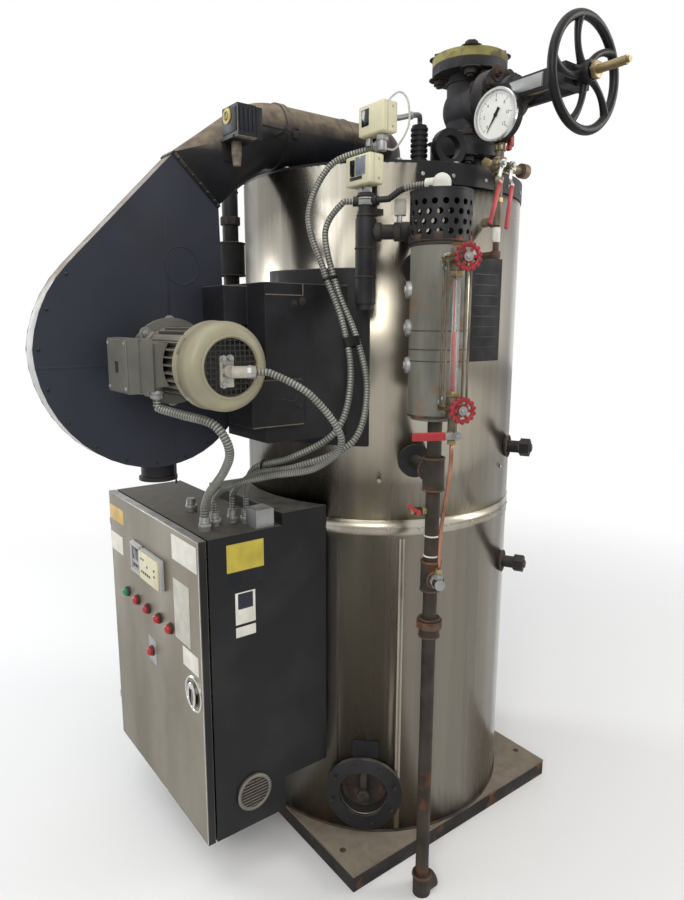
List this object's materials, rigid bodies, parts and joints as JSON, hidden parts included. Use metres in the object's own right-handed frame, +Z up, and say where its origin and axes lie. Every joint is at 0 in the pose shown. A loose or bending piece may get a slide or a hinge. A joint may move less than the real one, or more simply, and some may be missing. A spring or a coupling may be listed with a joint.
{
  "type": "vertical industrial steam boiler",
  "caption": "Vertical steam boiler in a stainless casing with forced-draught blower, burner duct, control cabinet, water column, gauge glass and steam stop valve.",
  "frame": {"origin": "on the floor, at the centre of the base and its anchor holes, under the axis of the casing", "axes": "+Z up, -Y towards the front with the cabinet door, +X towards the side with the stop valve handwheel"},
  "size_m": [1.1496, 1.4784, 2.136],
  "materials": {
    "base_steel": "dark, dusty",
    "deck_steel": "dusty, rust-stained",
    "insulation_sheet": "matt",
    "stainless": "polished with vertical streaks",
    "black_steel": "satin, dusty",
    "cast_valve": "rough casting, dusty",
    "yellow_flange": "worn yellow",
    "dusty_duct": "dark with brown dust on top",
    "slate_paint": "satin slate",
    "wrap_steel": "light grey, dusty",
    "motor_paint": "satin khaki",
    "dark_wire": "satin",
    "zinc": "dull zinc plate",
    "black_plastic": "matt",
    "black_pipe": "matt black",
    "cabinet_black": "satin powder coat",
    "control_plastic": "matt",
    "grey_plastic": "matt",
    "rusty_iron": "rusty",
    "column_paint": "worn grey with rust",
    "rusty_pipe": "dark with rusty fittings",
    "brass": "tarnished",
    "glass": "clear",
    "copper_tube": "dull copper",
    "gauge_case": "white dial in a steel case",
    "cream_plastic": "satin cream",
    "door_steel": "fine brushed, champagne",
    "wheel_black": "gloss black, worn",
    "red_paint": "gloss red, worn",
    "conduit_grey": "corrugated grey"
  },
  "bodies": {
    "root": {"base_frame": "base_steel", "base_deck": "deck_steel", "boiler_core": "insulation_sheet", "jacket_lower": "stainless", "jacket_upper": "stainless", "top_plate": "black_steel", "top_band": "black_steel", "valve_body": "cast_valve", "valve_bonnet": "cast_valve", "companion_flange": "yellow_flange", "burner_head": "black_steel", "burner_duct": "dusty_duct", "duct_elbow": "dusty_duct", "scroll_plates": "slate_paint", "scroll_wrap": "wrap_steel", "fan_inlet": "black_steel", "motor_body": "motor_paint", "motor_cowl": "motor_paint", "motor_grille": "dark_wire", "terminal_box": "motor_paint", "speed_sensor": "zinc", "blower_bracket": "black_steel", "damper_actuator": "black_plastic", "gas_train": "black_pipe", "cabinet_body": "cabinet_black", "cabinet_mount": "cabinet_black", "control_gear": "control_plastic", "cable_glands": "zinc", "handhole_ring": "black_steel", "handhole_cover": "rusty_iron", "water_column": "column_paint", "probe_cage": "black_steel", "probe_plug": "grey_plastic", "column_pipes": "black_pipe", "drain_leg": "rusty_pipe", "gauge_valves": "brass", "gauge_glass": "glass", "drain_tube": "copper_tube", "gauge_siphon": "brass", "pressure_gauge": "gauge_case", "switch_manifold": "black_pipe", "pressure_switches": "cream_plastic", "flue_collar": "stainless", "side_stub": "black_pipe", "sensor_conduit": "conduit_grey", "terminal_conduit": "conduit_grey", "upper_conduit": "conduit_grey", "lower_conduit": "conduit_grey", "probe_conduit": "conduit_grey"},
    "door": {"cabinet_door": "door_steel", "door_controls": "control_plastic", "door_handle": "black_plastic"},
    "stop_wheel": {"handwheel": "wheel_black"},
    "stem": {"valve_stem": "brass"},
    "upper_gauge_wheel": {"upper_wheel": "red_paint"},
    "lower_gauge_wheel": {"lower_wheel": "red_paint"},
    "left_cock": {"left_lever": "red_paint"},
    "right_cock": {"right_lever": "red_paint"},
    "column_cock": {"column_lever": "red_paint"},
    "sample_cock": {"sample_lever": "red_paint"}
  },
  "joints": [
    {"name": "door_hinge", "type": "hinge", "parent": "root", "child": "door", "pos_m": [-0.418, -0.6825, 0.56], "axis": [0, 0, 1], "range_deg": [-110, 0]},
    {"name": "stop_wheel_turn", "type": "hinge", "parent": "root", "child": "stop_wheel", "pos_m": [0.61555, 0.05986, 1.9965], "axis": [1, 0, 0], "range_deg": [-2880, 0]},
    {"name": "stem_slide", "type": "slide", "parent": "root", "child": "stem", "axis": [1, 0, 0], "range_m": [-0.08, 0]},
    {"name": "upper_gauge_turn", "type": "hinge", "parent": "root", "child": "upper_gauge_wheel", "pos_m": [0.64948, -0.32665, 1.582], "axis": [0.8934, -0.4493, 0], "range_deg": [-720, 0]},
    {"name": "lower_gauge_turn", "type": "hinge", "parent": "root", "child": "lower_gauge_wheel", "pos_m": [0.64948, -0.32665, 1.282], "axis": [0.8934, -0.4493, 0], "range_deg": [-720, 0]},
    {"name": "left_cock_turn", "type": "hinge", "parent": "root", "child": "left_cock", "pos_m": [0.45999, -0.02007, 1.826], "axis": [1, 0, 0], "range_deg": [-72, 18]},
    {"name": "right_cock_turn", "type": "hinge", "parent": "root", "child": "right_cock", "pos_m": [0.45999, 0.01393, 1.826], "axis": [1, 0, 0], "range_deg": [0, 90]},
    {"name": "column_cock_turn", "type": "hinge", "parent": "root", "child": "column_cock", "pos_m": [0.59856, -0.30104, 1.226], "axis": [0.8934, -0.4493, 0], "range_deg": [0, 90]},
    {"name": "sample_cock_turn", "type": "hinge", "parent": "root", "child": "sample_cock", "pos_m": [0.48947, -0.28871, 1.028], "axis": [0.8934, -0.4493, 0], "range_deg": [0, 90]}
  ],
  "couplings": [
    {"joint": "stem_slide", "follows": "stop_wheel_turn", "m_per_rad": 0.0015915}
  ]
}
